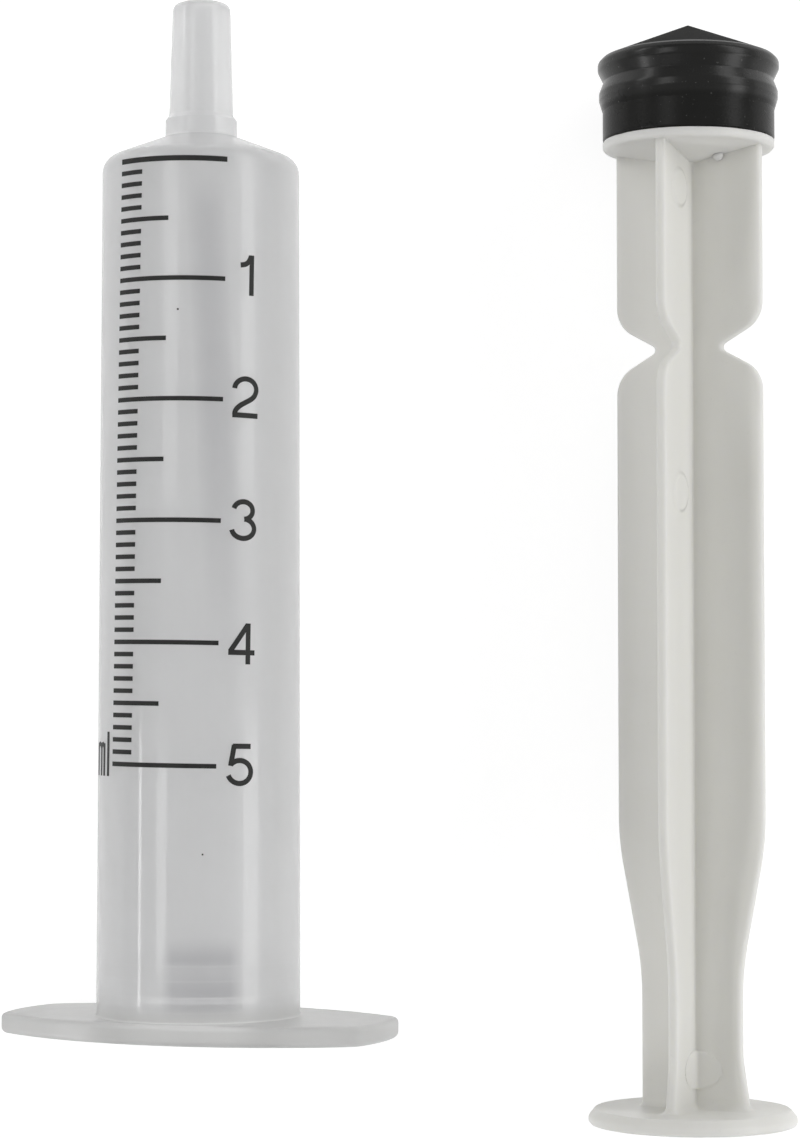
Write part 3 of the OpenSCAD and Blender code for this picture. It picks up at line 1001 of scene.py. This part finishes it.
def unitMark():
    # The plain unit, ml, beside the last line: three stems, two arches between them and a tall stem
    s, u = scaleSizes, scaleSizes["unit"]
    low = s["zeroAt"] - s["ml"] * s["perMl"] - u["drop"]
    top = low + u["top"]
    stems = u["stems"]
    paths = [straight((x, low), (x, top)) for x in stems]
    paths += [arc((a + b) / 2, top - u["archDrop"], (b - a) / 2, u["archH"], 180, 0)
              for a, b in zip(stems[:-1], stems[1:])]
    paths += [straight((u["tallAt"], low), (u["tallAt"], low + u["tallTop"]))]
    strokes = [inkStroke(path, u["lineW"], s["fineStep"]) for path in paths]
    makePiece("unit_mark", strokes, inkMaterial, "barrel")


def inkSpecks():
    # Stray dots of ink, each a stroke as wide as it is long
    s = scaleSizes
    strokes = [inkStroke(straight((x - half, y), (x + half, y)), 2 * half, s["speckStep"])
               for x, y, half in s["specks"]]
    makePiece("ink_specks", strokes, inkMaterial, "barrel")


scaleLines()
scaleNumbers()
unitMark()
inkSpecks()

floorLook = {
    "tone": (0.86, 0.86, 0.86, 1),
    "roughness": 0.9,
    "lift": 0.6,                   # share of the glow where the floor is seen: the rest keeps its shadow
    "glow": 1.39,
    "half": 1.5,                   # metres
}


def floorSheet():
    # A pale plane that leans just enough for the thumb disc and the stopper to touch it
    lean = (rodAxis[1] - stopperSizes["frontSealR"]) * mm / (stopperHigh.y - rodLow.y)
    h = floorLook["half"]
    corners = [(x, y, lean * (y - rodLow.y)) for x, y in ((-h, -h), (h, -h), (h, h), (-h, h))]
    mesh = bpy.data.meshes.new("floor")
    mesh.from_pydata(corners, [], [(0, 1, 2, 3)])
    floor = bpy.data.objects.new("floor", mesh)
    bpy.context.scene.collection.objects.link(floor)
    f = Finish("paleFloor")
    f.set(Base_Color=floorLook["tone"], Roughness=floorLook["roughness"], Specular_IOR_Level=0)
    glow = f.node("ShaderNodeEmission", {}, {"Color": (1, 1, 1, 1), "Strength": floorLook["glow"]})
    seen = f.rays("Camera", "Glossy", "Transmission") * floorLook["lift"]
    both = f.node("ShaderNodeMixShader", {}, {0: seen, 1: Value(f, f.shader.outputs[0]), 2: glow})
    f.put(f.nodes["Material Output"].inputs["Surface"], both)
    mesh.materials.append(f.material)


skyFill = 0.365


def openSky():
    # A plain white sky, at the strength that fills the lamps' shadows
    world = bpy.data.worlds.new("sky")
    bpy.context.scene.world = world
    world.use_nodes = True
    sky = world.node_tree.nodes["Background"]
    sky.inputs["Color"].default_value = (1, 1, 1, 1)
    sky.inputs["Strength"].default_value = skyFill


# Each softbox stands at an angle from straight up, towards +X, as seen from the barrel; it is long along Y
softboxes = {
    "keyRight": {"deg": 64, "y": -0.36, "long": 0.70, "tall": 0.20, "watts": 1.5},
    "faceRight": {"deg": 60, "y": 0.50, "long": 0.60, "tall": 0.30, "watts": 1.4},
    "upperRight": {"deg": 60, "y": 0.16, "long": 0.22, "tall": 0.18, "watts": 0.36},
    "stripLeft": {"deg": -66, "y": -0.06, "long": 0.094, "tall": 0.036, "watts": 0.12},
    "lowerLeft": {"deg": -39, "y": -0.046, "long": 0.053, "tall": 0.13, "watts": 0.10},
    "upperLeft": {"deg": -31, "y": 0.15, "long": 0.20, "tall": 0.18, "watts": 0.30},
    "fillLeft": {"deg": -69, "y": 0.50, "long": 0.60, "tall": 0.06, "watts": 1.1},
    "sideLow": {"deg": -69, "y": -0.55, "long": 0.50, "tall": 0.06, "watts": 1.1},
    "fillLow": {"deg": -35, "y": -0.66, "long": 0.30, "tall": 0.40, "watts": 0.4},
}
lampDistance = 0.6


def lamps():
    # Each lamp faces its foot on the barrel's line, from the lamps' distance
    for name, look in softboxes.items():
        data = bpy.data.lights.new(name, "AREA")
        data.shape = "RECTANGLE"
        data.size, data.size_y = look["long"], look["tall"]
        data.energy = look["watts"]
        lamp = bpy.data.objects.new(name, data)
        turn = math.radians(look["deg"])
        foot = Vector((barrelAxis[0] * mm, look["y"], barrelAxis[1] * mm))
        lamp.location = foot + lampDistance * Vector((math.sin(turn), 0, math.cos(turn)))
        lamp.rotation_euler = (foot - lamp.location).to_track_quat("-Z", "Y").to_euler()
        bpy.context.scene.collection.objects.link(lamp)


viewLook = {
    "place": (0.086, -10.766, 220.77),
    "aim": (0.086, -0.504, 8),
    "focal": 97.055,
    "sensor": 36,
    "near": 0.01,                  # metres
    "far": 10,
}


def camera():
    # The view of the photograph, with its place, aim and focal length fitted to both axes
    data = bpy.data.cameras.new("photoView")
    data.lens, data.sensor_width = viewLook["focal"], viewLook["sensor"]
    data.clip_start, data.clip_end = viewLook["near"], viewLook["far"]
    place, aim = Vector(viewLook["place"]) * mm, Vector(viewLook["aim"]) * mm
    eye = bpy.data.objects.new("photoView", data)
    eye.location = place
    eye.rotation_euler = (aim - place).to_track_quat("-Z", "Y").to_euler()
    bpy.context.scene.collection.objects.link(eye)
    bpy.context.scene.camera = eye


floorSheet()
openSky()
lamps()
camera()
bpy.context.scene.view_settings.view_transform = "Standard"
print("floor, sky, lamps and camera set")
